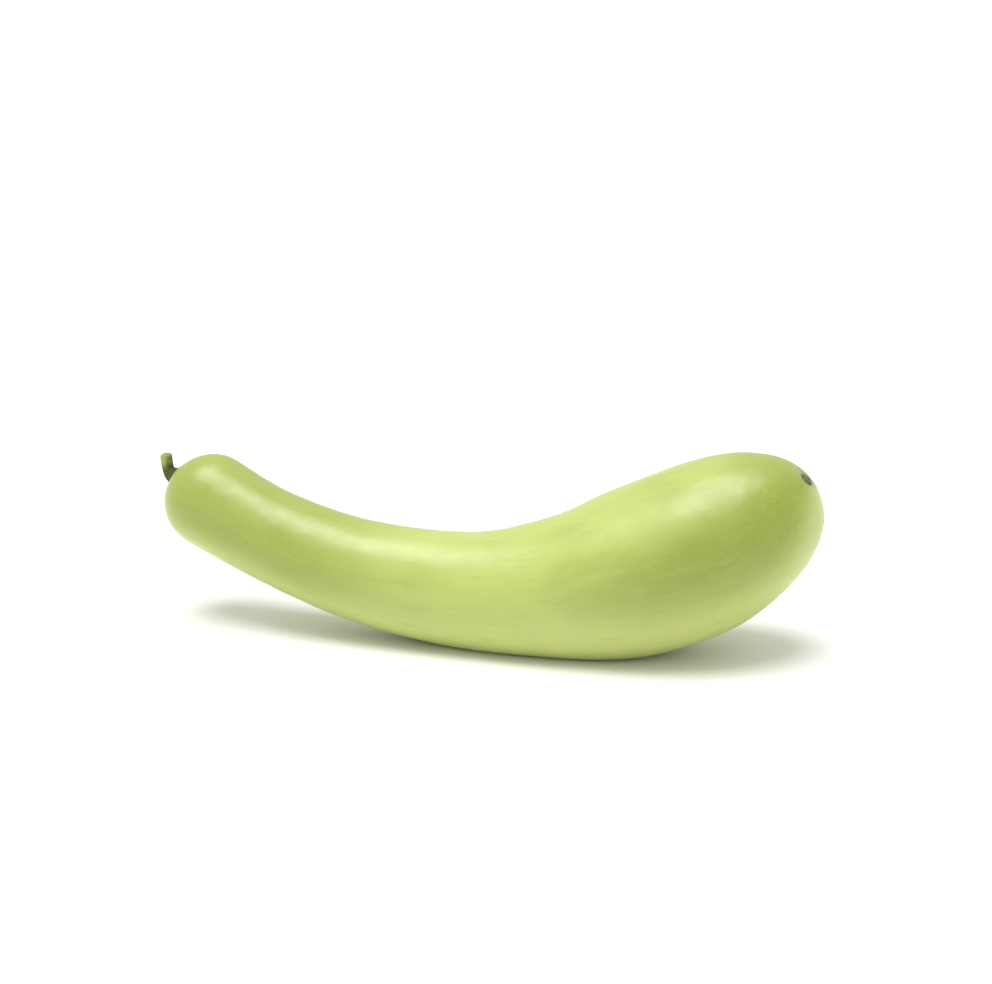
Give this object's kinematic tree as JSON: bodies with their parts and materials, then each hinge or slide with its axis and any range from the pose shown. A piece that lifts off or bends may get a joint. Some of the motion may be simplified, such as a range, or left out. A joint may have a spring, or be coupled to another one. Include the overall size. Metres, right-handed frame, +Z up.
{
  "type": "bottle gourd",
  "caption": "Pale green bottle gourd with a slim stalk end, a curved body and a heavy blossom end, lying on its belly.",
  "frame": {"origin": "middle of the small flat on the belly that the gourd rests on", "axes": "+Z up, +X from the stalk end towards the blossom end along the gourd, +Y to the back, the side that the curve leans to"},
  "size_m": [0.3429, 0.1291, 0.1036],
  "materials": {
    "rind": "waxy, pale green, half gloss",
    "stalk_skin": "matt, ribbed, olive green",
    "cork": "dry, corky, brown"
  },
  "bodies": {
    "root": {"fruit": "rind", "stalk": "stalk_skin", "blossom_scar": "cork"}
  },
  "joints": []
}
